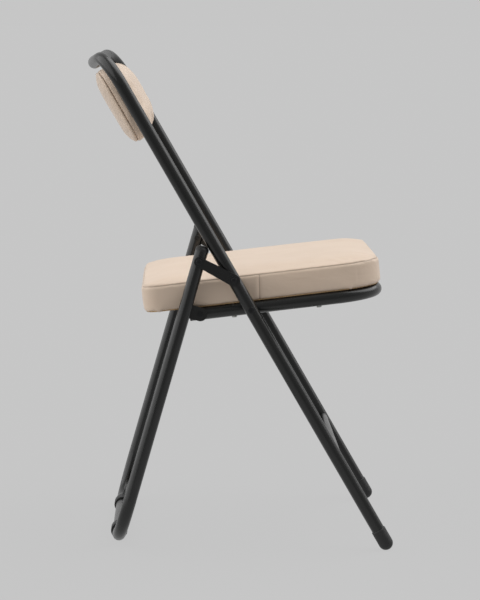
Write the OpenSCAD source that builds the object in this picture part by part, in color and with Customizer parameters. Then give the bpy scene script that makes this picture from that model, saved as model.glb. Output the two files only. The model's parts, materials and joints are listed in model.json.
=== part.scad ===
// Folding chair with a padded seat and a padded, curved back.
// Millimetres. +X is the way the sitter faces, +Y is the sitter's left and +Z is up.
// The origin is on the floor, under the middle of the chair.
// The chair is drawn open. It folds about four pairs of pivots: the seat pivot on the front
// leg, the rear pivot on the seat tube, and the lower and upper ends of the folding link.

/* [Front frame] */
// Spacing of the two uprights, centre to centre
frame_w = 400; // [340:1:460]
// Length of an upright's centreline, from the floor to the top bar
frame_len = 876; // [800:1:960]
// Lean of the uprights, backwards from vertical
frame_lean = 29.9; // [24:0.1:33]
// Where the uprights' centreline meets the floor, in front of the origin
foot_x = 231.5; // [200:0.5:270]
// Outer radius of the frame, leg and seat tubes
tube_r = 10; // [8:0.25:12]
// Wall of the tubes
tube_wall = 1.5; // [1:0.1:2.5]
// Radius of the bends at the top of the uprights
top_bend_r = 50; // [35:1:80]
// Angle by which the top bar and the back sweep backwards from each upright
back_sweep = 11.6; // [8:0.1:15]

/* [Front stretcher] */
// Outer radius of the stretcher between the front legs
stretcher_r = 8; // [6:0.25:10]
// Distance of the stretcher from the floor, along the leg
stretcher_at = 163; // [100:1:240]
// Length of the crimped stretch at each end
crimp_len = 30; // [20:1:45]

/* [Pivots] */
// Distance of the seat pivot from the floor, along the front leg
seat_pivot_at = 432; // [400:1:460]
// Distance of the link's pivot above the seat pivot, along the front leg
link_pivot_gap = 52.8; // [48:0.1:60]
// Distance from the seat pivot back to the rear pivot, along the seat tube
rear_pivot_gap = 77.9; // [68:0.1:88]
// Distance of the rear leg's centreline behind the rear pivot
bracket_reach = 25.1; // [22:0.1:30]
// Distance of the link's upper pivot above the rear pivot, along the rear leg
leg_pivot_rise = 79.4; // [70:0.1:88]
// Radius of the rivets' shanks
rivet_r = 3; // [2:0.25:4]
// Clearance round a shank that turns in its hole
running_gap = 0.08; // [0.02:0.01:0.1]

/* [Rear legs] */
// Lean of the rear legs, forwards from vertical
rear_lean = 16.04; // [12:0.01:20]
// Radius of the bends at the bottom of the rear legs
rear_bend_r = 70; // [50:1:85]
// Length of the rear leg above its upper pivot, without the plug
leg_top = 16; // [13:0.5:18]
// Distance of each rear foot from the middle
rear_foot_at = 101; // [70:1:110]
// Length of a rear foot along the bar
rear_foot_len = 24; // [15:1:40]
// Wall of the rear feet round the bar
rear_foot_wall = 3; // [2:0.25:5]

/* [Seat] */
// Tilt of the seat, up towards the front
seat_tilt = 6.7; // [3:0.1:10]
// Gap between the upright's inner side and the seat tube
seat_gap = 6; // [5.5:0.1:9]
// Distance of the seat tube's front bar from the seat pivot
seat_front = 198; // [175:1:225]
// Length of the seat tube behind the rear pivot
seat_tail = 14; // [11:0.5:18]
// Radius of the seat tube's front corners
seat_corner_r = 62; // [40:1:90]
// Thickness of the seat board
board_t = 9; // [6:0.5:15]
// Length that the cushion stands out in front of the seat tube's front bar
cushion_front = 12; // [5:1:20]
// Distance of the cushion's rear edge behind the rear pivot
cushion_rear = 88; // [60:1:100]
// Height of the cushion's side, from the seat tube's centreline to the seam
cushion_side = 49.5; // [40:0.5:60]
// Height of the cushion's crown above the seam
cushion_crown = 8; // [3:0.5:14]
// Clearance between the cushion's side and the rear pivot bracket
cushion_gap = 2; // [1.5:0.5:5]

/* [Back] */
// Height of the back pad
pad_h = 126; // [100:1:160]
// Clearance between the back pad and the top bar
pad_top_gap = 4; // [3:0.5:10]
// Thickness of the padded front of the back, from the board to its crown
pad_t = 31; // [25:1:42]
// Thickness of the board in the back
back_board_t = 9; // [5:0.5:12]
// Thickness of the covered panel behind the board
panel_t = 10; // [6:0.5:14]
// Radius of the curve of the back's board
board_r = 1600; // [1200:10:2400]
// Radius of the back's corners
pad_corner_r = 40; // [25:1:50]
// Clearance between the back's ends and the uprights
pad_side_gap = 2; // [1:0.5:5]

/* [Hidden] */

$fn = 48;
fit = 0.05;
half_w = frame_w / 2;
inner_r = tube_r - tube_wall;
hole_r = rivet_r + running_gap;

// Straight lengths of tube run this far into the bends, which are this much thicker
lap = 0.5;
step = 0.1;

// Feet: round ends with a small flat worn on the floor
foot_wall = 1.2;
foot_r = tube_r + foot_wall;
foot_flat = 0.5;
foot_sleeve = 24;
foot_z = (foot_r - foot_flat) / cos(frame_lean);

// Sideways places, outwards from the middle
inner_face = half_w - tube_r;
outer_face = half_w + tube_r;
seat_half = inner_face - seat_gap - tube_r;
bracket_t = 3;
bracket_y = seat_half + tube_r + 1;
link_gap = 0.4;
link_t = 3;
washer_t = 1;
washer_r = 6.8;
washer_gap = 0.1;
link_y = outer_face + link_gap;
head_y = link_y + link_t + washer_gap + washer_t;

// Pivots in the side view, as [x, z]
function along(a, d) = [d * sin(a), d * cos(a)];
seat_pivot = [foot_x, 0] + along(-frame_lean, seat_pivot_at);
link_pivot = seat_pivot + along(-frame_lean, link_pivot_gap);
rear_pivot = seat_pivot - rear_pivot_gap * [cos(seat_tilt), sin(seat_tilt)];
leg_pivot = rear_pivot + along(rear_lean, leg_pivot_rise) + along(rear_lean - 90, bracket_reach);
link_len = norm(link_pivot - leg_pivot);
link_turn = atan2(link_pivot[1] - leg_pivot[1], link_pivot[0] - leg_pivot[0]);

// Rear legs: the bar's height and the leg's length down from the upper pivot
rear_foot_r = tube_r + rear_foot_wall;
bar_z = rear_foot_r - foot_flat;
leg_drop = (leg_pivot[1] - bar_z) / cos(rear_lean);
plug_h = 8;
plug_dome = plug_h + 4.3;

// The plug's dome ends a hair short of the upright, so a thicker tube shortens the leg's end
dome_room = (link_pivot - leg_pivot) * [cos(frame_lean), sin(frame_lean)] - plug_dome - tube_r;
leg_end = min(leg_top, 3 + (dome_room - 0.35) / sin(frame_lean + rear_lean));

// Back: one sweep, about an upright axis in front of it
sweep_half = half_w - top_bend_r * cos(back_sweep);
sweep_r = sweep_half / sin(back_sweep);
sweep_x = sweep_r * cos(back_sweep) - top_bend_r * sin(back_sweep);
lap_turn = lap / sweep_r * 180 / PI;
pad_top = frame_len - tube_r - pad_top_gap;
pad_bottom = pad_top - pad_h;
pad_half = inner_face - pad_side_gap;
pad_rim = 6;
pad_step = 18;
tab_h = 46;
tab_t = 3;
tab_len = 50;
tab_x = 3 - tube_r;
tab_end = half_w - tube_r / 2;
tab_z = (pad_top + pad_bottom) / 2;
screw_r = 2;
screw_y = half_w - 36;

// The board's front touches the tabs at the board's ends
board_half = pad_half - pad_rim;
board_x = tab_x - tab_t - 0.1 + sqrt(board_r * board_r - board_half * board_half);

// Seat: outlines in the seat's own plane
seat_rear = -rear_pivot_gap - seat_tail;
cushion_half = bracket_y - cushion_gap;
cushion_x0 = -rear_pivot_gap - cushion_rear;
cushion_x1 = seat_front + cushion_front;
board_rim = 6;
board_z = tube_r + 0.2;
cover_t = 0.8;
crossbar_r = 7;
crossbar_x = -40;
seat_screw_x = [crossbar_x + 14, seat_front - 93];

// ---- places ----

module on_frame() {
    translate([foot_x, 0, 0])
        rotate([0, -frame_lean, 0])
            children();
}

module on_rear_leg() {
    translate([leg_pivot[0], 0, leg_pivot[1]])
        rotate([0, rear_lean, 0])
            children();
}

module on_seat() {
    translate([seat_pivot[0], 0, seat_pivot[1]])
        rotate([0, -seat_tilt, 0])
            children();
}

// Puts children at a pivot, with their +Z pointing outwards along side * Y
module at_pivot(p, side) {
    translate([p[0], 0, p[1]])
        rotate([-90 * side, 0, 0])
            children();
}

module both_sides() {
    children();
    mirror([0, 1, 0])
        children();
}

// ---- shared shapes ----

// A bend. It is a hair thicker than the straight lengths, which run a little way into it
module bent(r, bend, turn) {
    rotate_extrude(angle = turn, $fn = bend > 200 ? 240 : 64)
        translate([bend, 0])
            circle(r, $fn = 48);
}

// Centreline of the front frame, swept by a circle of radius r
module frame_path(r, start) {
    both_sides() {
        translate([0, half_w, start])
            cylinder(r = r, h = frame_len - top_bend_r - start + lap);
        translate([-top_bend_r * sin(back_sweep), half_w - top_bend_r * cos(back_sweep),
                   frame_len - top_bend_r])
            rotate([90, 0, 90 - back_sweep])
                bent(r + step, top_bend_r, 90);
    }
    translate([sweep_x, 0, frame_len])
        rotate([0, 0, 180 - back_sweep - lap_turn])
            bent(r, sweep_r, 2 * (back_sweep + lap_turn));
}

// Centreline of the rear legs, from the upper pivots round the bar at the floor
module rear_path(r, top) {
    both_sides() {
        translate([0, half_w, rear_bend_r - leg_drop - lap])
            cylinder(r = r, h = leg_drop - rear_bend_r + top + lap);
        translate([0, half_w - rear_bend_r, rear_bend_r - leg_drop])
            rotate([90, 0, 90])
                rotate([0, 0, -90])
                    bent(r + step, rear_bend_r, 90);
    }
    translate([0, rear_bend_r - half_w - lap, -leg_drop])
        rotate([-90, 0, 0])
            cylinder(r = r, h = 2 * (half_w - rear_bend_r + lap));
}

// Centreline of the seat tube, round the front of the seat
module seat_path(r, rear) {
    both_sides() {
        translate([rear, seat_half, 0])
            rotate([0, 90, 0])
                cylinder(r = r, h = seat_front - seat_corner_r - rear + lap);
        translate([seat_front - seat_corner_r, seat_half - seat_corner_r, 0])
            bent(r + step, seat_corner_r, 90);
    }
    translate([seat_front, seat_corner_r - seat_half - lap, 0])
        rotate([-90, 0, 0])
            cylinder(r = r, h = 2 * (seat_half - seat_corner_r + lap));
}

// A rounded head or washer: height h, radius r, its edge rounded by e
module button(r, h, e) {
    rotate_extrude()
        union() {
            square([r - e, h]);
            square([r, h - e]);
            translate([r - e, h - e])
                circle(e);
        }
}

// A rivet's outer head with the hollow left by its punch
module rivet_head(r, h) {
    difference() {
        button(r, h, 0.7);
        translate([0, 0, h - 0.8])
            cylinder(r1 = rivet_r * 0.45, r2 = rivet_r * 0.7, h = 1);
    }
}

// A flat bar of thickness t with round ends of two sizes, from the origin to [len, 0]
module tapered_bar(len, r0, r1, t) {
    lean = asin((r0 - r1) / len);
    s0 = r0 - fit;
    s1 = r1 - fit;
    cylinder(r = r0, h = t);
    translate([len, 0, 0])
        cylinder(r = r1, h = t);
    linear_extrude(height = t)
        polygon([
            [s0 * sin(lean), s0 * cos(lean)],
            [len + s1 * sin(lean), s1 * cos(lean)],
            [len + s1 * sin(lean), -s1 * cos(lean)],
            [s0 * sin(lean), -s0 * cos(lean)]
        ]);
}

// A rectangle from x0 to x1 with two corner radii, r1 at the x1 end
module seat_outline(x0, x1, half, r0, r1) {
    translate([x0 + r0, -half])
        square([x1 - x0 - r0 - r1, 2 * half]);
    translate([x0, r0 - half])
        square([r0, 2 * (half - r0)]);
    translate([x1 - r1, r1 - half])
        square([r1, 2 * (half - r1)]);
    both_sides() {
        translate([x0 + r0, half - r0])
            circle(r0);
        translate([x1 - r1, half - r1])
            circle(r1);
    }
}

// ---- front frame ----

module frame_tube() {
    color("#1c1d1e")
        on_frame()
            difference() {
                frame_path(tube_r, foot_z + 3);
                frame_path(inner_r, foot_z - 5);
                for (at = [seat_pivot_at, seat_pivot_at + link_pivot_gap])
                    translate([0, -outer_face - 1, at])
                        rotate([-90, 0, 0])
                            cylinder(r = hole_r, h = 2 * outer_face + 2);
            }
}

module front_stretcher() {
    color("#232425")
        on_frame()
            translate([0, 0, stretcher_at])
                difference() {
                    translate([0, -half_w, 0])
                        rotate([-90, 0, 0])
                            cylinder(r = stretcher_r, h = frame_w);
                    translate([0, crimp_len - half_w + tube_r, 0])
                        rotate([-90, 0, 0])
                            cylinder(r = stretcher_r - tube_wall,
                                     h = frame_w - 2 * tube_r - 2 * crimp_len);
                    both_sides()
                        translate([0, half_w, -60])
                            cylinder(r = tube_r, h = 120);
                    both_sides()
                        translate([-stretcher_r * 0.45, inner_face + 1, stretcher_r * 0.95])
                            rotate([90, 0, 0])
                                cylinder(r1 = stretcher_r * 0.62, r2 = 0.3, h = crimp_len);
                }
}

module front_foot(side) {
    color("#161617")
        difference() {
            on_frame()
                translate([0, side * half_w, foot_z])
                    difference() {
                        union() {
                            sphere(r = foot_r);
                            cylinder(r = foot_r, h = foot_sleeve - 1);
                            translate([0, 0, foot_sleeve - 1])
                                cylinder(r1 = foot_r, r2 = foot_r - 0.7, h = 1);
                        }
                        translate([0, 0, 3])
                            cylinder(r = tube_r + fit, h = foot_sleeve);
                    }
            translate([foot_x - 30, side * half_w - 30, -30])
                cube([60, 60, 30]);
        }
}

// ---- back ----

// A layer of the back: from radius r0 to r1 of its curve, its outline set in by a margin
module back_layer(r0, r1, margin) {
    turn = asin(pad_half / r1) + 2;
    intersection() {
        translate([board_x, 0, pad_bottom - 10])
            rotate([0, 0, 180 - turn])
                rotate_extrude(angle = 2 * turn, $fn = 240)
                    translate([r0, 0])
                        square([r1 - r0, pad_h + 20]);
        back_outline(margin);
    }
}

// The back's rounded outline, set in by a margin, through the whole depth
module back_outline(margin) {
    r = pad_corner_r - margin;
    half = pad_half - margin;
    top = pad_top - margin;
    bottom = pad_bottom + margin;
    translate([150, 0, 0])
        rotate([0, -90, 0])
            linear_extrude(height = 300)
                seat_outline(bottom, top, half, r, r);
}

// A flat tab beside each upright, with a gap all round it
module back_tab_shape(side, gap) {
    start = half_w - tab_len - gap;
    translate([tab_x - tab_t - gap, side > 0 ? start : -tab_end, tab_z - tab_h / 2 - gap])
        cube([tab_t + 2 * gap, tab_end - start, tab_h + 2 * gap]);
}

// The four screws of the back: each starts on the front of a tab and points backwards
module at_back_screws() {
    for (side = [-1, 1])
        for (up = [-1, 1])
            translate([tab_x, side * screw_y, tab_z + up * tab_h * 0.3])
                rotate([0, -90, 0])
                    children();
}

module back_tab(side) {
    color("#1c1d1e")
        on_frame()
            difference() {
                back_tab_shape(side, 0);
                translate([0, side * half_w, tab_z - tab_h])
                    cylinder(r = tube_r, h = 2 * tab_h);
                at_back_screws()
                    translate([0, 0, -1])
                        cylinder(r = screw_r + fit, h = tab_t + 2);
            }
}

module back_board() {
    color("#b08d62")
        on_frame()
            difference() {
                back_layer(board_r, board_r + back_board_t, pad_rim);
                at_back_screws()
                    cylinder(r = screw_r + fit, h = 40);
            }
}

module back_pad() {
    color("#e2d3c4")
        on_frame()
            difference() {
                union() {
                    back_layer(board_r - pad_t * 0.62, board_r + back_board_t - 0.3, 0);
                    back_layer(board_r - pad_t, board_r - 5, pad_step);
                }
                back_layer(board_r - 0.2, board_r + back_board_t + 5, pad_rim - 0.2);
                for (side = [-1, 1])
                    back_tab_shape(side, 0.3);
                at_back_screws()
                    translate([0, 0, -3])
                        cylinder(r = 4.5, h = 10);
            }
}

module back_panel() {
    color("#e2d3c4")
        on_frame()
            back_layer(board_r + back_board_t + 0.1, board_r + back_board_t + panel_t, 0);
}

module back_screws() {
    color("#9a9a98")
        on_frame()
            at_back_screws() {
                cylinder(r = screw_r, h = tab_t + back_board_t - 1.5);
                mirror([0, 0, 1])
                    button(4, 2, 0.8);
            }
}

// ---- pivots on the frame ----

module seat_rivet(side) {
    color("#2a2b2c")
        at_pivot(seat_pivot, side) {
            translate([0, 0, seat_half - tube_r - 2.6])
                cylinder(r = rivet_r, h = outer_face - seat_half + tube_r + 3);
            translate([0, 0, seat_half - tube_r - 0.4])
                mirror([0, 0, 1])
                    button(5.2, 2.2, 0.8);
            difference() {
                translate([0, 0, outer_face - 2])
                    rivet_head(5.2, 3.6);
                translate([0, 0, half_w])
                    rotate([-90, 0, 0])
                        rotate([0, side * frame_lean, 0])
                            translate([0, 0, -30])
                                cylinder(r = tube_r + fit, h = 60);
            }
        }
}

module seat_spacer(side) {
    color("#d9d6cf")
        at_pivot(seat_pivot, side)
            difference() {
                translate([0, 0, seat_half + tube_r + 0.4])
                    cylinder(r = 7, h = seat_gap + 1.6);
                cylinder(r = rivet_r + fit, h = outer_face);
                translate([0, 0, half_w])
                    rotate([-90, 0, 0])
                        rotate([0, side * frame_lean, 0])
                            translate([0, 0, -30])
                                cylinder(r = tube_r + fit, h = 60);
            }
}

// A rivet through one tube and the link, with a head at each end
module tube_rivet(p, side) {
    color("#2a2b2c")
        at_pivot(p, side) {
            translate([0, 0, inner_face - 1])
                cylinder(r = rivet_r, h = head_y - inner_face + 1.5);
            translate([0, 0, inner_face - 0.1])
                mirror([0, 0, 1])
                    button(4.6, 1.6, 0.6);
            translate([0, 0, head_y])
                rivet_head(4.4, 1.9);
        }
}

module link_washer(p, side) {
    color("#242526")
        at_pivot(p, side)
            translate([0, 0, link_y + link_t + washer_gap])
                difference() {
                    button(washer_r, washer_t, 0.3);
                    translate([0, 0, -1])
                        cylinder(r = rivet_r + fit, h = washer_t + 2);
                }
}

module link(side) {
    color("#202122")
        at_pivot(leg_pivot, side)
            translate([0, 0, link_y])
                rotate([0, 0, -side * link_turn])
                    difference() {
                        tapered_bar(link_len, 7.6, 9.2, link_t);
                        translate([0, 0, -1])
                            cylinder(r = rivet_r + fit, h = link_t + 2);
                        translate([link_len, 0, -1])
                            cylinder(r = hole_r, h = link_t + 2);
                    }
}

// ---- rear legs ----

module rear_leg_tube() {
    color("#1c1d1e")
        on_rear_leg()
            difference() {
                rear_path(tube_r, leg_end);
                rear_path(inner_r, leg_end + 5);
                translate([0, -outer_face - 1, 0])
                    rotate([-90, 0, 0])
                        cylinder(r = hole_r, h = 2 * outer_face + 2);
            }
}

module leg_plug(side) {
    color("#161617")
        on_rear_leg()
            translate([0, side * half_w, leg_end]) {
                translate([0, 0, -9])
                    cylinder(r = inner_r - fit, h = 9.5);
                intersection() {
                    translate([0, 0, 0.05])
                        cylinder(r = tube_r + 0.3, h = plug_h);
                    translate([0, 0, -3])
                        sphere(r = plug_dome);
                }
            }
}

module rear_foot(side) {
    color("#161617")
        difference() {
            on_rear_leg()
                translate([0, side * rear_foot_at - rear_foot_len / 2, -leg_drop])
                    rotate([-90, 0, 0])
                        difference() {
                            union() {
                                translate([0, 0, 1])
                                    cylinder(r = rear_foot_r, h = rear_foot_len - 2);
                                cylinder(r1 = rear_foot_r - 1, r2 = rear_foot_r, h = 1);
                                translate([0, 0, rear_foot_len - 1])
                                    cylinder(r1 = rear_foot_r, r2 = rear_foot_r - 1, h = 1);
                            }
                            translate([0, 0, -1])
                                cylinder(r = tube_r + fit, h = rear_foot_len + 2);
                        }
            translate([-400, side * rear_foot_at - 50, -30])
                cube([400, 100, 30]);
        }
}

// The plate that carries the rear pivot: it steps inwards, clear of the front legs
module bracket(side) {
    at = bracket_reach;
    color("#1c1d1e")
        at_pivot(rear_pivot, side)
            rotate([0, 0, side * rear_lean])
                difference() {
                    union() {
                        translate([0, 0, bracket_y])
                            linear_extrude(height = bracket_t) {
                                circle(10.5);
                                translate([-at + 9, -10.5])
                                    square([at - 9, 21]);
                            }
                        translate([-at - 3, -10.5, inner_face - 2.9])
                            cube([17, 21, 2.9]);
                        translate([-at + 9, -10.5, bracket_y])
                            cube([5, 21, inner_face - bracket_y]);
                        translate([-at - 3, -10.5, inner_face - 1])
                            cube([11, 21, 3]);
                    }
                    translate([-at, -30, half_w])
                        rotate([-90, 0, 0])
                            cylinder(r = tube_r, h = 60);
                    translate([0, 0, bracket_y - 1])
                        cylinder(r = rivet_r + fit, h = bracket_t + 2);
                }
}

module bracket_rivet(side) {
    color("#2a2b2c")
        at_pivot(rear_pivot, side) {
            translate([0, 0, bracket_y])
                cylinder(r = rivet_r, h = bracket_t + 0.5);
            translate([0, 0, bracket_y + bracket_t])
                button(4.4, 1.3, 0.5);
        }
}

// ---- seat ----

module seat_tube() {
    color("#1c1d1e")
        on_seat()
            difference() {
                seat_path(tube_r, seat_rear);
                seat_path(inner_r, seat_rear - 5);
                for (at = [0, -rear_pivot_gap])
                    translate([at, -outer_face, 0])
                        rotate([-90, 0, 0])
                            cylinder(r = hole_r, h = 2 * outer_face);
                for (at = seat_screw_x)
                    both_sides()
                        translate([at, seat_half, -2 * tube_r])
                            cylinder(r = screw_r + fit, h = 4 * tube_r);
            }
}

module seat_crossbar() {
    color("#1c1d1e")
        on_seat()
            difference() {
                translate([crossbar_x, -seat_half, 0])
                    rotate([-90, 0, 0])
                        cylinder(r = crossbar_r, h = 2 * seat_half);
                translate([crossbar_x, -seat_half, 0])
                    rotate([-90, 0, 0])
                        cylinder(r = crossbar_r - 1.2, h = 2 * seat_half);
                both_sides()
                    translate([crossbar_x - 30, seat_half, 0])
                        rotate([0, 90, 0])
                            cylinder(r = tube_r, h = 60);
            }
}

module seat_plug(side) {
    color("#161617")
        on_seat()
            translate([seat_rear, side * seat_half, 0])
                rotate([0, -90, 0]) {
                    translate([0, 0, -6])
                        cylinder(r = inner_r - fit, h = 6.5);
                    translate([0, 0, 0.05])
                        button(tube_r, 2.5, 1.2);
                }
}

// The seat's half of the rear pivot
module seat_pin(side) {
    color("#2a2b2c")
        at_pivot(rear_pivot, side) {
            translate([0, 0, seat_half - tube_r - 1])
                cylinder(r = rivet_r, h = 2 * tube_r + 1.2);
            translate([0, 0, seat_half - tube_r - 0.1])
                mirror([0, 0, 1])
                    button(4.6, 1.6, 0.6);
        }
}

module pin_washer(side) {
    color("#d9d6cf")
        at_pivot(rear_pivot, side)
            translate([0, 0, seat_half + tube_r + 0.05])
                difference() {
                    cylinder(r = 9, h = 0.5);
                    translate([0, 0, -1])
                        cylinder(r = rivet_r + fit, h = 3);
                }
}

module seat_board() {
    color("#b08d62")
        on_seat()
            translate([0, 0, board_z])
                difference() {
                    linear_extrude(height = board_t)
                        seat_outline(cushion_x0 + board_rim, cushion_x1 - board_rim,
                                     cushion_half - board_rim, 24, seat_corner_r);
                    for (at = seat_screw_x)
                        both_sides()
                            translate([at, seat_half, -1])
                                cylinder(r = screw_r + fit, h = board_t - 1);
                }
}

// One corner post of the cushion, set in by a margin
module cushion_post(x, y, r, z0, z1, margin) {
    translate([x, y, z0])
        cylinder(r = r - margin, h = z1 - z0, $fn = 48);
}

module cushion_posts(z0, z1, margin) {
    both_sides() {
        cushion_post(cushion_x0 + 30, cushion_half - 30, 30, z0, z1, margin);
        cushion_post(cushion_x1 - seat_corner_r, cushion_half - seat_corner_r, seat_corner_r,
                     z0, z1, margin);
    }
}

module seat_cushion() {
    color("#dccaba")
        on_seat()
            difference() {
                hull() {
                    cushion_posts(board_z + 0.2, board_z + 1, 4);
                    cushion_posts(board_z + 5, cushion_side - 2, 0);
                    cushion_posts(cushion_side, cushion_side + 2, 5);
                    cushion_posts(cushion_side, cushion_side + cushion_crown, 30);
                }
                translate([0, 0, -1])
                    linear_extrude(height = board_z + board_t + 1.2)
                        seat_outline(cushion_x0 + board_rim - 0.2, cushion_x1 - board_rim + 0.2,
                                     cushion_half - board_rim + 0.2, 24, seat_corner_r);
            }
}

module seat_dust_cover() {
    color("#2b2b2b")
        on_seat()
            translate([0, 0, board_z - cover_t - 0.05])
                linear_extrude(height = cover_t)
                    seat_outline(cushion_x0 + 14, seat_front - tube_r - 1, seat_half - tube_r - 1,
                                 12, seat_corner_r - tube_r - 1);
}

module seat_screws() {
    color("#9a9a98")
        on_seat()
            for (at = seat_screw_x)
                both_sides()
                    translate([at, seat_half, 0]) {
                        translate([0, 0, -tube_r - 0.5])
                            cylinder(r = screw_r, h = tube_r + board_z + board_t - 2);
                        difference() {
                            translate([0, 0, -tube_r + 1])
                                mirror([0, 0, 1])
                                    button(4, 3, 1);
                            translate([-10, 0, 0])
                                rotate([0, 90, 0])
                                    cylinder(r = tube_r + fit, h = 20);
                        }
                    }
}

// ---- the parts ----

frame_tube();
front_stretcher();
front_foot(1);  // front_foot_left
front_foot(-1);  // front_foot_right
back_tab(1);  // back_tab_left
back_tab(-1);  // back_tab_right
back_board();
back_pad();
back_panel();
back_screws();
seat_rivet(1);  // seat_rivet_left
seat_rivet(-1);  // seat_rivet_right
seat_spacer(1);  // seat_spacer_left
seat_spacer(-1);  // seat_spacer_right
tube_rivet(link_pivot, 1);  // frame_rivet_left
tube_rivet(link_pivot, -1);  // frame_rivet_right
link_washer(link_pivot, 1);  // frame_washer_left
link_washer(link_pivot, -1);  // frame_washer_right
link(1);  // link_left
link(-1);  // link_right
tube_rivet(leg_pivot, 1);  // leg_rivet_left
tube_rivet(leg_pivot, -1);  // leg_rivet_right
link_washer(leg_pivot, 1);  // leg_washer_left
link_washer(leg_pivot, -1);  // leg_washer_right
rear_leg_tube();
leg_plug(1);  // leg_plug_left
leg_plug(-1);  // leg_plug_right
rear_foot(1);  // rear_foot_left
rear_foot(-1);  // rear_foot_right
bracket(1);  // bracket_left
bracket(-1);  // bracket_right
bracket_rivet(1);  // bracket_rivet_left
bracket_rivet(-1);  // bracket_rivet_right
seat_tube();
seat_crossbar();
seat_plug(1);  // seat_plug_left
seat_plug(-1);  // seat_plug_right
seat_pin(1);  // seat_pin_left
seat_pin(-1);  // seat_pin_right
pin_washer(1);  // pin_washer_left
pin_washer(-1);  // pin_washer_right
seat_board();
seat_cushion();
seat_dust_cover();
seat_screws();
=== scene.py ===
# %% [markdown]
# # A padded folding chair
# The chair has a frame of round steel tube, which comes ready made: the next cell loads it, and
# every tube, rivet and plug of it stays as it is. The lesson adds what a drawing of the steel can't
# give: the finish of each part, and the soft goods, which are swollen with a cloth simulation.

# %% Load the frame
import json
import math

import bmesh
import bpy
import numpy as np
from mathutils import Matrix, Vector, noise


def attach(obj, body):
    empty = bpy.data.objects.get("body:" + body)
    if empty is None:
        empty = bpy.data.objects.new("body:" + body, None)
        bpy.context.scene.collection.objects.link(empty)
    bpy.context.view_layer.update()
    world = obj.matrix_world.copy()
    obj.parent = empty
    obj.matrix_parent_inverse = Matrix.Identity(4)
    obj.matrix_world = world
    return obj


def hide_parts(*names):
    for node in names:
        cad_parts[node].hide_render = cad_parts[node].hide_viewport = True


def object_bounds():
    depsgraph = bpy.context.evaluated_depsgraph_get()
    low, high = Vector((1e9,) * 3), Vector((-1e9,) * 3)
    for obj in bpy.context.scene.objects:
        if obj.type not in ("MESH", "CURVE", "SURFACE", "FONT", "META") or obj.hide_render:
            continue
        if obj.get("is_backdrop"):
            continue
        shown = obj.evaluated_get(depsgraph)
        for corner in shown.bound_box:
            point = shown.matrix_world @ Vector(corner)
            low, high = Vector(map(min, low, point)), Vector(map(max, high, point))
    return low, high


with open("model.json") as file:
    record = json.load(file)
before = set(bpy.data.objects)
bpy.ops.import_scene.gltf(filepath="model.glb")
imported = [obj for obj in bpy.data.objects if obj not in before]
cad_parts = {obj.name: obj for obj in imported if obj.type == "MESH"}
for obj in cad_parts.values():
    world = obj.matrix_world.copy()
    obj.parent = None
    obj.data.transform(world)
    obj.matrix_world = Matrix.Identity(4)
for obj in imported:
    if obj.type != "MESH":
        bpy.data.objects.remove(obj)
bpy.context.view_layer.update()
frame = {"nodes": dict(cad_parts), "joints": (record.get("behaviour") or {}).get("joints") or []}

# %% [markdown]
# ## Two places to work in
# The seat is tilted and the back leans, so each soft piece is modelled flat and square, in a frame
# of its own, and moved into place when it is done. The seat's frame starts at the seat pivot, with
# X to the front along the seat. The back's frame starts at the foot of the uprights, with Z up along
# them. Both follow from the seat pivot, which the joints give.

# %% The seat's and the back's own frames
MM = 0.001
joints = {joint["name"]: joint for joint in frame["joints"]}
seat_pivot = Vector(joints["seat_fold"]["pos_m"])
SEAT_TILT = math.radians(6.7)
LEAN = math.radians(29.9)
PIVOT_UP_THE_LEG = 432 * MM

seat_place = Matrix.Translation(seat_pivot) @ Matrix.Rotation(-SEAT_TILT, 4, "Y")
foot = seat_pivot - PIVOT_UP_THE_LEG * Vector((-math.sin(LEAN), 0, math.cos(LEAN)))
back_place = Matrix.Translation(foot) @ Matrix.Rotation(-LEAN, 4, "Y")
print("seat pivot", [round(v, 4) for v in seat_pivot], "foot", [round(v, 4) for v in foot])

# %% [markdown]
# ## The camera
# A long lens from far away, nearly side on and a little above, shows a chair with hardly any
# perspective. A lens of 142 mm on a 36 mm frame does that from just under four metres.

# %% Camera
camera = bpy.data.objects.new("camera", bpy.data.cameras.new("camera"))
bpy.context.scene.collection.objects.link(camera)
camera.data.lens = 141.66
camera.data.sensor_width = 36
camera.location = (-0.0931, -3.7772, 0.8108)
camera.rotation_euler = (1.453496, -0.001688, -0.025601)
camera.data.clip_end = 2000
bpy.context.scene.camera = camera
bpy.context.scene.view_settings.view_transform = "Standard"
print("camera at", [round(v, 2) for v in camera.location])

# %% [markdown]
# ## Helpers for finishes
# Colours are written as they look on a screen, in sRGB, and a renderer works with linear light, so
# one function turns the one into the other. Another adds a shader node: its inputs are either plain
# values or the outputs of nodes made before.


# %% Colour and node helpers
def linear(code):
    parts = [int(code[i : i + 2], 16) / 255 for i in (1, 3, 5)]
    curved = [p / 12.92 if p <= 0.04045 else ((p + 0.055) / 1.055) ** 2.4 for p in parts]
    return (*curved, 1.0)


def add(material, kind, inputs=None, **fields):
    made = material.node_tree.nodes.new(kind)
    for name, value in fields.items():
        setattr(made, name, value)
    for name, value in (inputs or {}).items():
        if isinstance(value, bpy.types.NodeSocket):
            material.node_tree.links.new(value, made.inputs[name])
        else:
            made.inputs[name].default_value = value
    return made


def new_finish(name, roughness, metallic=0.0):
    material = bpy.data.materials.new(name)
    material.use_nodes = True
    shader = material.node_tree.nodes["Principled BSDF"]
    shader.inputs["Roughness"].default_value = roughness
    shader.inputs["Metallic"].default_value = metallic
    place = add(material, "ShaderNodeTexCoord").outputs["Object"]
    return material, shader, place


def join(material, output, socket):
    material.node_tree.links.new(output, socket)


# %% [markdown]
# ## Hard finishes
# Most hard parts differ only in colour, gloss and the grain of their surface, so one function makes
# them all: a fine noise moves the surface by a few hundredths of a millimetre, and a coarse one
# shifts the colour and the gloss a little, as handling and dust do. The grain is given in
# millimetres, and a noise's scale is how many grains fit in a metre.


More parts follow.
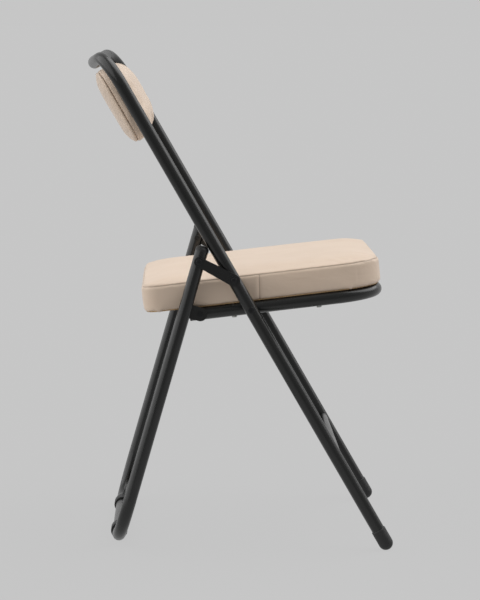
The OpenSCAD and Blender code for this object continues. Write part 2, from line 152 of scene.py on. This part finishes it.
# %% A finish with grain and slight unevenness
def grained(name, light, dark, roughness, grain, height, patches=60, metallic=0.0):
    material, shader, place = new_finish(name, roughness, metallic)
    fine = add(material, "ShaderNodeTexNoise", {"Vector": place, "Scale": 1000 / grain, "Detail": 2.0})
    coarse = add(material, "ShaderNodeTexNoise",
                 {"Vector": place, "Scale": 1000 / patches, "Detail": 4.0})
    spread = add(material, "ShaderNodeMapRange", {0: coarse.outputs["Fac"], 1: 0.3, 2: 0.7})
    tint = add(material, "ShaderNodeMix", {0: spread.outputs[0], 6: linear(light), 7: linear(dark)},
               data_type="RGBA")
    gloss = add(material, "ShaderNodeMapRange",
                {0: coarse.outputs["Fac"], 1: 0.3, 2: 0.7, 3: roughness - 0.04, 4: roughness + 0.05})
    bump = add(material, "ShaderNodeBump",
               {"Height": fine.outputs["Fac"], "Strength": 0.6, "Distance": height * MM})
    join(material, tint.outputs[2], shader.inputs["Base Color"])
    join(material, gloss.outputs[0], shader.inputs["Roughness"])
    join(material, bump.outputs["Normal"], shader.inputs["Normal"])
    return material


# Steel tube with a baked powder coat: satin, with the faint orange peel of melted powder
powder_coat = grained("powder_coated_steel", "#111211", "#0c0d0c", 0.27, 1.6, 0.03)
coat = powder_coat.node_tree.nodes["Principled BSDF"]
coat.inputs["Coat Weight"].default_value = 0.12
coat.inputs["Coat Roughness"].default_value = 0.3
# Soft PVC from a mould: darker and duller than the coat
pvc = grained("moulded_pvc", "#151516", "#1c1c1c", 0.52, 0.6, 0.03, patches=15)
# Rivets come oiled and blackened, so they shine more than the tube round them
black_rivet = grained("blackened_steel", "#1b1c1d", "#262728", 0.3, 0.9, 0.02, patches=6, metallic=0.4)
# Natural nylon is milky and lets some light in
nylon = grained("natural_nylon", "#dedbd2", "#cfcbc0", 0.42, 0.8, 0.02, patches=8)
milky = nylon.node_tree.nodes["Principled BSDF"]
milky.inputs["Subsurface Weight"].default_value = 0.2
milky.inputs["Subsurface Radius"].default_value = (1 * MM, 1 * MM, 1 * MM)
# Zinc-plated screws: a bluish metal with a cloudy passivation
zinc = grained("zinc_plated_steel", "#b9bcbe", "#9c9a8f", 0.34, 0.5, 0.01, patches=4, metallic=1.0)
print("hard finishes:", [m.name for m in (powder_coat, pvc, black_rivet, nylon, zinc)])

# %% [markdown]
# ## Plywood
# The boards are birch plywood. What shows is the face veneer: long pale fibres with darker streaks,
# so the noise is stretched along the grain. A streak is about 2 mm wide and 60 mm long.

# %% Birch plywood
plywood, shader, place = new_finish("birch_plywood", 0.6)
stretched = add(plywood, "ShaderNodeMapping", {"Vector": place, "Scale": (500, 16, 500)})
fibres = add(plywood, "ShaderNodeTexNoise",
             {"Vector": stretched.outputs[0], "Scale": 1.0, "Detail": 6.0})
streaks = add(plywood, "ShaderNodeMapRange", {0: fibres.outputs["Fac"], 1: 0.35, 2: 0.7})
veneer = add(plywood, "ShaderNodeMix",
             {0: streaks.outputs[0], 6: linear("#cfae82"), 7: linear("#a37f54")}, data_type="RGBA")
pores = add(plywood, "ShaderNodeBump",
            {"Height": fibres.outputs["Fac"], "Strength": 0.5, "Distance": 0.2 * MM})
join(plywood, veneer.outputs[2], shader.inputs["Base Color"])
join(plywood, pores.outputs["Normal"], shader.inputs["Normal"])
print("made", plywood.name)

# %% [markdown]
# ## Leatherette
# The covers are PVC-coated fabric, embossed like fine leather. Three things make it look so: a grain
# of rounded cells about 1 mm across, soft creases a few centimetres long where the cover is drawn
# over the foam, and a satin gloss with a little sheen. The cushion's seams are drawn here too, as
# thin sunk lines in the seat's own frame, because a thread is much thinner than the mesh. Each line
# is darkened towards deep brown: that is painted shade, standing for the shadow in the sewn groove.


# %% Leatherette, with seams where they are asked for
def leatherette(name, light, dark, seams=False):
    material, shader, place = new_finish(name, 0.5)
    cells = add(material, "ShaderNodeTexVoronoi", {"Vector": place, "Scale": 1000 / 1.1},
                feature="SMOOTH_F1")
    skin = add(material, "ShaderNodeTexNoise", {"Vector": place, "Scale": 1000 / 0.7, "Detail": 3.0})
    drawn = add(material, "ShaderNodeMapping", {"Vector": place, "Scale": (22, 22, 60)})
    creases = add(material, "ShaderNodeTexNoise",
                  {"Vector": drawn.outputs[0], "Scale": 1.0, "Detail": 3.0, "Distortion": 0.6})
    patches = add(material, "ShaderNodeTexNoise", {"Vector": place, "Scale": 14.0, "Detail": 3.0})
    spread = add(material, "ShaderNodeMapRange", {0: patches.outputs["Fac"], 1: 0.3, 2: 0.7})
    tint = add(material, "ShaderNodeMix", {0: spread.outputs[0], 6: linear(light), 7: linear(dark)},
               data_type="RGBA")
    grain = add(material, "ShaderNodeBump",
                {"Height": cells.outputs["Distance"], "Strength": 0.2, "Distance": 0.06 * MM})
    fine = add(material, "ShaderNodeBump", {"Height": skin.outputs["Fac"], "Strength": 0.2,
                                            "Distance": 0.05 * MM, "Normal": grain.outputs["Normal"]})
    soft = add(material, "ShaderNodeBump", {"Height": creases.outputs["Fac"], "Strength": 0.5,
                                            "Distance": 1.6 * MM, "Normal": fine.outputs["Normal"]})
    colour, normal = tint.outputs[2], soft.outputs["Normal"]
    if seams:
        colour, normal = add_seams(material, place, colour, normal)
    join(material, colour, shader.inputs["Base Color"])
    join(material, normal, shader.inputs["Normal"])
    shader.inputs["Sheen Weight"].default_value = 0.12
    shader.inputs["Sheen Roughness"].default_value = 0.5
    shader.inputs["Specular IOR Level"].default_value = 0.45
    return material


SEAM_UP = 49.5 * MM
SIDE_SEAM = 14 * MM
SIDE_SEAM_LEAN = 0.1


def add_seams(material, place, colour, normal):
    own = add(material, "ShaderNodeMapping",
              {"Vector": place, "Location": seat_pivot, "Rotation": (0, -SEAT_TILT, 0)},
              vector_type="TEXTURE")
    wander = add(material, "ShaderNodeTexNoise",
                 {"Vector": own.outputs[0], "Scale": 70.0, "Detail": 2.0})
    parts = add(material, "ShaderNodeSeparateXYZ", {0: own.outputs[0]})
    forward, sideways, upward = (parts.outputs[name] for name in "XYZ")

    shift = add(material, "ShaderNodeMath", {0: wander.outputs["Fac"], 1: 1.6 * MM},
                operation="MULTIPLY")
    height = add(material, "ShaderNodeMath", {0: upward, 1: shift.outputs[0]}, operation="ADD")
    off_top = add(material, "ShaderNodeMath", {0: height.outputs[0], 1: SEAM_UP + 0.8 * MM},
                  operation="SUBTRACT")
    from_top = add(material, "ShaderNodeMath", {0: off_top.outputs[0]}, operation="ABSOLUTE")
    top_line = add(material, "ShaderNodeMapRange",
                   {0: from_top.outputs[0], 1: 0.3 * MM, 2: 1.2 * MM, 3: 1.0, 4: 0.0})

    leaning = add(material, "ShaderNodeMath", {0: upward, 1: SIDE_SEAM_LEAN}, operation="MULTIPLY")
    straight = add(material, "ShaderNodeMath", {0: forward, 1: leaning.outputs[0]},
                   operation="SUBTRACT")
    off_side = add(material, "ShaderNodeMath", {0: straight.outputs[0], 1: SIDE_SEAM},
                   operation="SUBTRACT")
    from_side = add(material, "ShaderNodeMath", {0: off_side.outputs[0]}, operation="ABSOLUTE")
    side_line = add(material, "ShaderNodeMapRange",
                    {0: from_side.outputs[0], 1: 0.3 * MM, 2: 1.1 * MM, 3: 1.0, 4: 0.0})

    # The side seam stays on the band: below the top seam and on the outer faces
    below = add(material, "ShaderNodeMath", {0: upward, 1: SEAM_UP}, operation="LESS_THAN")
    out = add(material, "ShaderNodeMath", {0: sideways}, operation="ABSOLUTE")
    outside = add(material, "ShaderNodeMath", {0: out.outputs[0], 1: 170 * MM},
                  operation="GREATER_THAN")
    band = add(material, "ShaderNodeMath", {0: below.outputs[0], 1: outside.outputs[0]},
               operation="MULTIPLY")
    upright = add(material, "ShaderNodeMath", {0: side_line.outputs[0], 1: band.outputs[0]},
                  operation="MULTIPLY")
    lines = add(material, "ShaderNodeMath", {0: top_line.outputs[0], 1: upright.outputs[0]},
                operation="MAXIMUM")

    depth = add(material, "ShaderNodeMath", {0: lines.outputs[0], 1: -1.0}, operation="MULTIPLY")
    sunk = add(material, "ShaderNodeBump", {"Height": depth.outputs[0], "Strength": 0.9,
                                            "Distance": 0.5 * MM, "Normal": normal})
    # Painted shade: the seam lines are darkened towards deep brown, standing for the shadow in the sewn
    # groove
    painted_seam_shade = add(material, "ShaderNodeMath", {0: lines.outputs[0], 1: 0.42}, operation="MULTIPLY")
    dark = add(material, "ShaderNodeMix",
               {0: painted_seam_shade.outputs[0], 6: colour, 7: linear("#7d6350")}, data_type="RGBA")
    return dark.outputs[2], sunk.outputs["Normal"]


LIGHT_BEIGE, DARK_BEIGE = "#dcc7b3", "#d7c1ac"
cover = leatherette("beige_leatherette", LIGHT_BEIGE, DARK_BEIGE)
seamed_cover = leatherette("beige_leatherette_with_seams", LIGHT_BEIGE, DARK_BEIGE, seams=True)
print("made", cover.name, "and", seamed_cover.name)

# %% [markdown]
# ## Dust cloth
# Under the seat a black spunbond cloth is stapled over the board. It isn't woven: its fibres are
# pressed together in a grid of small points about 1.5 mm apart, which shows as a dimpled pattern.

# %% Spunbond cloth
dust_cloth, shader, place = new_finish("black_spunbond_cloth", 0.85)
pressed = add(dust_cloth, "ShaderNodeTexVoronoi",
              {"Vector": place, "Scale": 1000 / 1.5, "Randomness": 0.1})
fibre = add(dust_cloth, "ShaderNodeTexNoise", {"Vector": place, "Scale": 900.0, "Detail": 4.0})
mixed = add(dust_cloth, "ShaderNodeMix",
            {0: fibre.outputs["Fac"], 6: linear("#202020"), 7: linear("#3a3a3b")}, data_type="RGBA")
dimples = add(dust_cloth, "ShaderNodeBump",
              {"Height": pressed.outputs["Distance"], "Strength": 0.8, "Distance": 0.15 * MM})
join(dust_cloth, mixed.outputs[2], shader.inputs["Base Color"])
join(dust_cloth, dimples.outputs["Normal"], shader.inputs["Normal"])
print("made", dust_cloth.name)

# %% [markdown]
# ## Finishes on the steel
# Each part of the frame gets its finish by name. Its own mesh isn't touched.

# %% Give each part its finish
finishes = {
    "rivet": black_rivet, "pin_washer": nylon, "seat_spacer": nylon, "washer": black_rivet,
    "screws": zinc, "foot": pvc, "plug": pvc, "board": plywood, "seat_pin": black_rivet,
    "cushion": cover, "back_pad": cover, "panel": cover, "dust_cover": dust_cloth,
}
for name, node in frame["nodes"].items():
    chosen = next((finish for word, finish in finishes.items() if word in name), powder_coat)
    node.data.materials.clear()
    node.data.materials.append(chosen)
print("finished", len(frame["nodes"]), "parts")

# %% [markdown]
# ## Helpers for modelling
# Blender's operators act on whatever is selected, so everything is deselected before a piece is
# picked. `pick` goes into edit mode and selects the faces or edges that pass a test, and `done`
# goes back and recalculates the normals.


# %% Selection helpers
def only(piece):
    if bpy.context.object and bpy.context.object.mode != "OBJECT":
        bpy.ops.object.mode_set(mode="OBJECT")
    bpy.ops.object.select_all(action="DESELECT")
    piece.select_set(True)
    bpy.context.view_layer.objects.active = piece


def pick(piece, kind, test):
    if bpy.context.object is not piece or piece.mode != "EDIT":
        only(piece)
        bpy.ops.object.mode_set(mode="EDIT")
    bpy.ops.mesh.select_mode(type=kind)
    bpy.ops.mesh.select_all(action="DESELECT")
    shape = bmesh.from_edit_mesh(piece.data)
    for part in shape.faces if kind == "FACE" else shape.edges:
        part.select_set(bool(test(part)))
    bmesh.update_edit_mesh(piece.data)


def done(piece):
    bpy.ops.mesh.select_all(action="SELECT")
    bpy.ops.mesh.normals_make_consistent(inside=False)
    bpy.ops.object.mode_set(mode="OBJECT")


def block(name, low, high):
    """A box between two corners, in millimetres, its place and size in its mesh."""
    if bpy.context.object and bpy.context.object.mode != "OBJECT":
        bpy.ops.object.mode_set(mode="OBJECT")
    bpy.ops.object.select_all(action="DESELECT")
    bpy.ops.mesh.primitive_cube_add(
        size=1, location=[(a + b) / 2 * MM for a, b in zip(low, high)])
    piece = bpy.context.object
    piece.name = name
    piece.scale = [(b - a) * MM for a, b in zip(low, high)]
    bpy.ops.object.transform_apply(location=True, rotation=True, scale=True)
    return piece


def along(edge, axis):
    line = edge.verts[1].co - edge.verts[0].co
    return abs(line[axis]) > 0.99 * line.length


def points_of(piece):
    flat = np.empty(len(piece.data.vertices) * 3)
    piece.data.vertices.foreach_get("co", flat)
    return flat.reshape(-1, 3)


def put_points(piece, points):
    piece.data.vertices.foreach_set("co", np.ascontiguousarray(points).ravel())
    piece.data.update()


def normals_of(piece):
    flat = np.empty(len(piece.data.vertices) * 3)
    piece.data.vertices.foreach_get("normal", flat)
    return flat.reshape(-1, 3)


# %% [markdown]
# ## Swelling with air
# Foam under a tight cover behaves like a balloon that is held along its seams. The piece is remeshed
# into even quads, its seams are pinned, and Blender's cloth swells it for twenty frames. Pressure
# alone would go too far, so no point may move more than a set distance. The simulation is applied,
# and one subdivision smooths what is left of the quads.


# %% Swell a piece
def swell(piece, quad, held, most, pressure=4.0, frames=20):
    only(piece)
    piece.data.remesh_voxel_size = quad * MM
    bpy.ops.object.voxel_remesh()
    before = points_of(piece)
    pins = piece.vertex_groups.new(name="held")
    pins.add([int(i) for i in np.flatnonzero(held(before))], 1.0, "REPLACE")
    air = piece.modifiers.new("air", "CLOTH")
    air.settings.use_pressure = True
    air.settings.uniform_pressure_force = pressure
    air.settings.vertex_group_mass = "held"
    air.settings.effector_weights.gravity = 0
    for number in range(1, frames + 1):
        bpy.context.scene.frame_set(number)
    bpy.ops.object.modifier_apply(modifier="air")
    piece.vertex_groups.clear()
    moved = points_of(piece) - before
    far = np.linalg.norm(moved, axis=1)
    limit = most(before) * MM
    moved *= (limit * np.tanh(far / np.maximum(limit, 1e-6)) / np.maximum(far, 1e-9))[:, None]
    put_points(piece, before + moved)
    print(piece.name, "moved by up to", round(float(np.linalg.norm(moved, axis=1).max() / MM), 1), "mm")
    bpy.context.scene.frame_set(1)
    smooth = piece.modifiers.new("smooth", "SUBSURF")
    smooth.levels = smooth.render_levels = 1
    bpy.ops.object.modifier_apply(modifier="smooth")
    bpy.ops.object.shade_smooth()
    print(piece.name, "has", len(piece.data.polygons), "faces")


def cut_pocket(piece, cutter):
    """Takes the cutter's shape out of the piece, and removes the cutter."""
    only(piece)
    cut = piece.modifiers.new("pocket", "BOOLEAN")
    cut.object = cutter
    cut.solver = "MANIFOLD"
    bpy.ops.object.modifier_apply(modifier="pocket")
    bpy.data.objects.remove(cutter)


# %% [markdown]
# ## The seat cushion
# The seat is a slab of foam on a board, in a box-shaped cover: a top panel, and a band round the side
# that is sewn to it 5 mm in from the edge and nailed under the board. A cube becomes that slab when
# its upright corners are bevelled, wide at the front and tight at the back, and its top face is inset
# and raised into a low crown. The sewn edge and the nailed edge are held while it swells, so both
# panels bulge between them.

# %% The slab
BACK_END, FRONT_END, HALF, LOW = -163.5, 207.5, 180.8, 10.6
BACK_RADIUS, FRONT_RADIUS = 27, 60
slab = block("seat_cushion_cover", (BACK_END, -HALF, LOW + 5), (FRONT_END, HALF, 49))
pick(slab, "EDGE", lambda edge: along(edge, 2) and edge.verts[0].co.x > 0)
bpy.ops.mesh.bevel(offset=FRONT_RADIUS * MM, segments=14, profile=0.5)
pick(slab, "EDGE", lambda edge: along(edge, 2) and edge.verts[0].co.x < BACK_END * MM * 0.999)
bpy.ops.mesh.bevel(offset=BACK_RADIUS * MM, segments=8, profile=0.5)
pick(slab, "FACE", lambda face: face.normal.z > 0.9)
for inwards, upwards in ((2.5, 2.4), (3, 2.2), (5, 1.7), (6, 0.9), (8, 0.4)):
    bpy.ops.mesh.inset(thickness=inwards * MM)
    bpy.ops.transform.translate(value=(0, 0, upwards * MM))
pick(slab, "FACE", lambda face: face.normal.z < -0.9)
for inwards, downwards in ((1.5, 2.8), (2.5, 1.6), (3, 0.6)):
    bpy.ops.mesh.inset(thickness=inwards * MM)
    bpy.ops.transform.translate(value=(0, 0, -downwards * MM))
done(slab)
print("slab:", len(slab.data.polygons), "faces before swelling")


# %% [markdown]
# Distances on the slab are measured from the outline of its corners, which is a rounded rectangle.
# The signed distance tells how far inside a point is, and so where the sewn line runs.


# %% Swell the slab
def inside_by(points, x0, x1, half, back_radius, front_radius):
    """How far inside the seat's outline each point is, seen from above."""
    x, y = points[:, 0], np.abs(points[:, 1])
    radius = np.where(x > (x0 + x1) / 2, front_radius, back_radius) * MM
    dx = np.maximum(x0 * MM - x, x - x1 * MM) + radius
    dy = y - half * MM + radius
    outside = np.hypot(np.maximum(dx, 0), np.maximum(dy, 0)) + np.minimum(np.maximum(dx, dy), 0)
    return radius - outside


def slab_held(points):
    inset = inside_by(points, BACK_END, FRONT_END, HALF, BACK_RADIUS, FRONT_RADIUS)
    sewn = (np.abs(points[:, 2] - 50 * MM) < 3 * MM) & (inset < 7 * MM)
    nailed = points[:, 2] < 14 * MM
    return sewn | nailed


def slab_most(points):
    top = points[:, 2] > 50 * MM
    return np.where(top, 3.5, 2.6)


swell(slab, 4.5, slab_held, slab_most)


# %% [markdown]
# After swelling, the details that are smaller than a quad: the sewn line is drawn in, the fabric
# gathers along it, a lapped seam runs up each side, and at the nailed edge a few pleats hang out
# below, as they do where a cover is folded round a corner.


# %% Seams, gathers and pleats on the slab
def gather(points, size, seed):
    return np.array([noise.noise(Vector((p[0] + seed, p[1], p[2])) / (size * MM)) for p in points])


def dent(distance, width):
    return np.exp(-((distance / (width * MM)) ** 2))


points, normals = points_of(slab), normals_of(slab)
BULGE = 2.5
inset = inside_by(points, BACK_END - BULGE, FRONT_END + BULGE, HALF + 2.2,
                  BACK_RADIUS + BULGE, FRONT_RADIUS + 2)
up = points[:, 2]
outer = inset < 14 * MM
seam = np.where(outer, dent(up - SEAM_UP, 1.9), 0)
push = -1.1 * seam
push += 0.5 * gather(points, 9, 3.0) * np.where(outer, dent(up - SEAM_UP, 9), 0)
push += 0.9 * gather(points, 34, 7.0) * np.where(inset < 6 * MM, dent(up - 28 * MM, 16), 0)
push += 0.7 * gather(points, 60, 5.0) * (up > 52 * MM)
push += 1.6 * np.clip((inset - 20 * MM) / (90 * MM), 0, 1) ** 0.7 * (up > 52 * MM)
lap = (np.abs(points[:, 1]) > 170 * MM) & (up < SEAM_UP) & (up > 12 * MM)
place_along = points[:, 0] - SIDE_SEAM - SIDE_SEAM_LEAN * up
push += np.where(lap, 0.7 * dent(place_along + 5 * MM, 4.5) - 0.9 * dent(place_along, 1.6), 0)
points += normals * push[:, None] * MM
# Each pleat is given by its place along the seat, how far it hangs and how wide it is
pleats = ((-140, 5.0, 4.0), (157, 4.0, 3.5), (184, 3.2, 5.0), (-158, 2.0, 5.0), (30, 1.0, 7.0))
for at, depth, width in pleats:
    pleat = dent(points[:, 0] - at * MM, width) * (np.abs(points[:, 1]) > 60 * MM)
    low = np.clip((19 * MM - points[:, 2]) / (9 * MM), 0, 1) * (inset < 5 * MM)
    points[:, 2] -= pleat * low * depth * MM
put_points(slab, points)
print("cushion is", [round(v / MM, 1) for v in points.max(0) - points.min(0)], "mm")

# %% [markdown]
# The board sits in the underside of the foam, so a pocket of its shape is cut there, with a hair of
# clearance. Then the cushion goes to its place, rides on the seat, and stands for the plain solid.

# %% Pocket for the board, and into place
pocket = block("pocket", (-160.1, -177.2, -5), (204.2, 177.2, 19.4))
pick(pocket, "EDGE", lambda edge: along(edge, 2) and edge.verts[0].co.x > 0)
bpy.ops.mesh.bevel(offset=62 * MM, segments=16, profile=0.5)
pick(pocket, "EDGE", lambda edge: along(edge, 2) and edge.verts[0].co.x < -0.15999)
bpy.ops.mesh.bevel(offset=24 * MM, segments=10, profile=0.5)
done(pocket)
cut_pocket(slab, pocket)
slab.data.transform(seat_place)
slab.data.materials.clear()
slab.data.materials.append(seamed_cover)
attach(slab, "seat")
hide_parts("seat_cushion")

# %% [markdown]
# ## The back
# The back is two padded shells sewn together round a board: a thick one in front, which bulges, and
# a flatter one behind. Both are the same outline, a rounded rectangle, so one function makes them:
# a block with bevelled corners whose outer face is inset and drawn out. Depth is along X, with the
# front positive, and zero at the front of the board. The shells are swollen flat, and then wrapped
# on to the curve of the board, an arc of 1600 mm.

# %% One padded shell
PAD_LOW, PAD_HIGH, PAD_HALF, CORNER = 736.4, 861.6, 187.6, 40
FRONT_SEAM, REAR_SEAM = -9.0, -9.1
CURVE = 1600 * MM
CURVE_AXIS = 1579.51 * MM


def shell(name, sewn, rim, crown, steps, most, quad=4.0):
    out = 1 if crown > sewn else -1
    low, high = sorted((sewn, rim))
    piece = block(name, (low, -PAD_HALF + 1.5, PAD_LOW + 1.5), (high, PAD_HALF - 1.5, PAD_HIGH - 1.5))
    pick(piece, "EDGE", lambda edge: along(edge, 0))
    bpy.ops.mesh.bevel(offset=(CORNER - 1.5) * MM, segments=12, profile=0.5)
    for thickness, rise in steps:
        if thickness == steps[0][0]:
            pick(piece, "FACE", lambda face: face.normal.x * out > 0.9)
        bpy.ops.mesh.inset(thickness=thickness * MM)
        bpy.ops.transform.translate(value=(out * rise * MM, 0, 0))
    done(piece)
    swell(piece, quad, lambda p: p[:, 0] * out < (sewn * out + 2.2) * MM, most)
    return piece


def wrap(piece):
    points = points_of(piece)
    radius = CURVE - points[:, 0]
    points[:, 0] = CURVE_AXIS - np.sqrt(radius**2 - points[:, 1] ** 2)
    put_points(piece, points)


def dress(piece, *nodes):
    piece.data.transform(back_place)
    piece.data.materials.clear()
    piece.data.materials.append(cover)
    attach(piece, "frame")
    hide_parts(*nodes)


front_steps = ((2, 4), (4, 4.5), (7, 4), (10, 3), (12, 1.5))
front_shell = shell("back_pad_cover", FRONT_SEAM, 10.0, 31.0, front_steps,
                    lambda p: np.where(p[:, 0] > 12 * MM, 4.0, 1.3))
rear_steps = ((2, 1.8), (4, 1.7), (9, 1.3), (14, 0.9))
rear_shell = shell("back_panel_cover", REAR_SEAM, -12.0, -19.0, rear_steps,
                   lambda p: np.where(p[:, 0] < -12.5 * MM, 2.2, 1.0))

# %% [markdown]
# The two shells meet in a seam. Along it each is drawn in by half a millimetre and gathers a
# little. Once the front shell is wrapped on to the board, slits let the steel tabs and the heads
# of their screws into its ends.


# %% Seam and gathers of the back, pocket, and into place
for piece, sewn, seed in ((front_shell, FRONT_SEAM, 1.0), (rear_shell, REAR_SEAM, 9.0)):
    points, normals = points_of(piece), normals_of(piece)
    near = dent(points[:, 0] - sewn * MM, 6)
    push = 0.7 * gather(points, 11, seed) * near + 0.8 * gather(points, 45, seed + 2) * (1 - near)
    edge = np.abs(normals[:, 0]) < 0.9
    push -= 0.5 * dent(points[:, 0] - sewn * MM, 3.2) * edge
    points += normals * (push * edge + 0.6 * (1 - edge) * push)[:, None] * MM
    limits = (sewn * MM, 1) if piece is front_shell else (-1, sewn * MM)
    points[:, 0] = np.clip(points[:, 0], *limits)
    put_points(piece, points)

pocket = block("pocket", (-12, -182.2, 741.8), (0.2, 182.2, 856.2))
pick(pocket, "EDGE", lambda edge: along(edge, 0))
bpy.ops.mesh.bevel(offset=34.2 * MM, segments=10, profile=0.5)
done(pocket)
cut_pocket(front_shell, pocket)
wrap(front_shell)
wrap(rear_shell)
for side in (-1, 1):
    ends = sorted((side * 149.6, side * 210))
    cut_pocket(front_shell, block("slit", (-10.4, ends[0], 775.6), (-6.6, ends[1], 822.4)))
    ends = sorted((side * 159.4, side * 168.6))
    cut_pocket(front_shell, block("screw_room", (-8, ends[0], 780.5), (-4.7, ends[1], 817.5)))
dress(front_shell, "back_pad")
dress(rear_shell, "back_panel")
print("back shells:", len(front_shell.data.polygons), "and", len(rear_shell.data.polygons), "faces")

# %% [markdown]
# ## The studio
# The floor is so large that it fills the view to the horizon, and it glows, so it stays even under
# the chair. In front of the chair the glow fades, which keeps the steel facing that way dark. Two
# sun lamps with wide discs light the chair softly, one from above and one from behind the sitter.
# The world adds the light of a bright room that is darker on the camera's side.

# %% Floor
bpy.ops.object.select_all(action="DESELECT")
bpy.ops.mesh.primitive_plane_add(size=900)
floor = bpy.context.object
floor.name = "studio_floor"
paper, shader, place = new_finish("matt_paper", 0.9)
shader.inputs["Base Color"].default_value = (0.03, 0.03, 0.03, 1)
shader.inputs["Specular IOR Level"].default_value = 0.0
shader.inputs["Emission Color"].default_value = (1, 1, 1, 1)
across = add(paper, "ShaderNodeSeparateXYZ", {0: place})
glow = add(paper, "ShaderNodeMapRange", {0: across.outputs["Y"], 1: -2.2, 2: -0.7, 3: 0.2, 4: 0.53})
join(paper, glow.outputs[0], shader.inputs["Emission Strength"])
floor.data.materials.append(paper)
floor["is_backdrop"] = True

# %% Lights
def lamp(name, energy, spread, turned):
    made = bpy.data.objects.new(name, bpy.data.lights.new(name, "SUN"))
    bpy.context.scene.collection.objects.link(made)
    made.data.energy = energy
    made.data.angle = math.radians(spread)
    made.rotation_euler = [math.radians(v) for v in turned]
    return made


sun = lamp("key_light", 2.0, 70, (-12, 34, 0))
fill = lamp("light_from_behind", 2.0, 100, (6, -74, 0))

world = bpy.data.worlds.new("bright_room")
bpy.context.scene.world = world
world.use_nodes = True
sky = world.node_tree.nodes["Background"]
direction = add(world, "ShaderNodeTexCoord").outputs["Generated"]
sides = add(world, "ShaderNodeSeparateXYZ", {0: direction})
fade = add(world, "ShaderNodeMapRange", {0: sides.outputs["Y"], 1: -0.9, 2: 0.5})
camera_side, far_side = 0.31, 0.565
room = add(world, "ShaderNodeMix",
           {0: fade.outputs[0], 6: (*[camera_side] * 3, 1), 7: (*[far_side] * 3, 1)}, data_type="RGBA")
join(world, room.outputs[2], sky.inputs["Color"])
print("lights:", sun.name, fill.name, "and", world.name)

# %% Print the visual box and finish
low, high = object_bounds()
print("visual box", [round(v, 4) for v in low], [round(v, 4) for v in high])
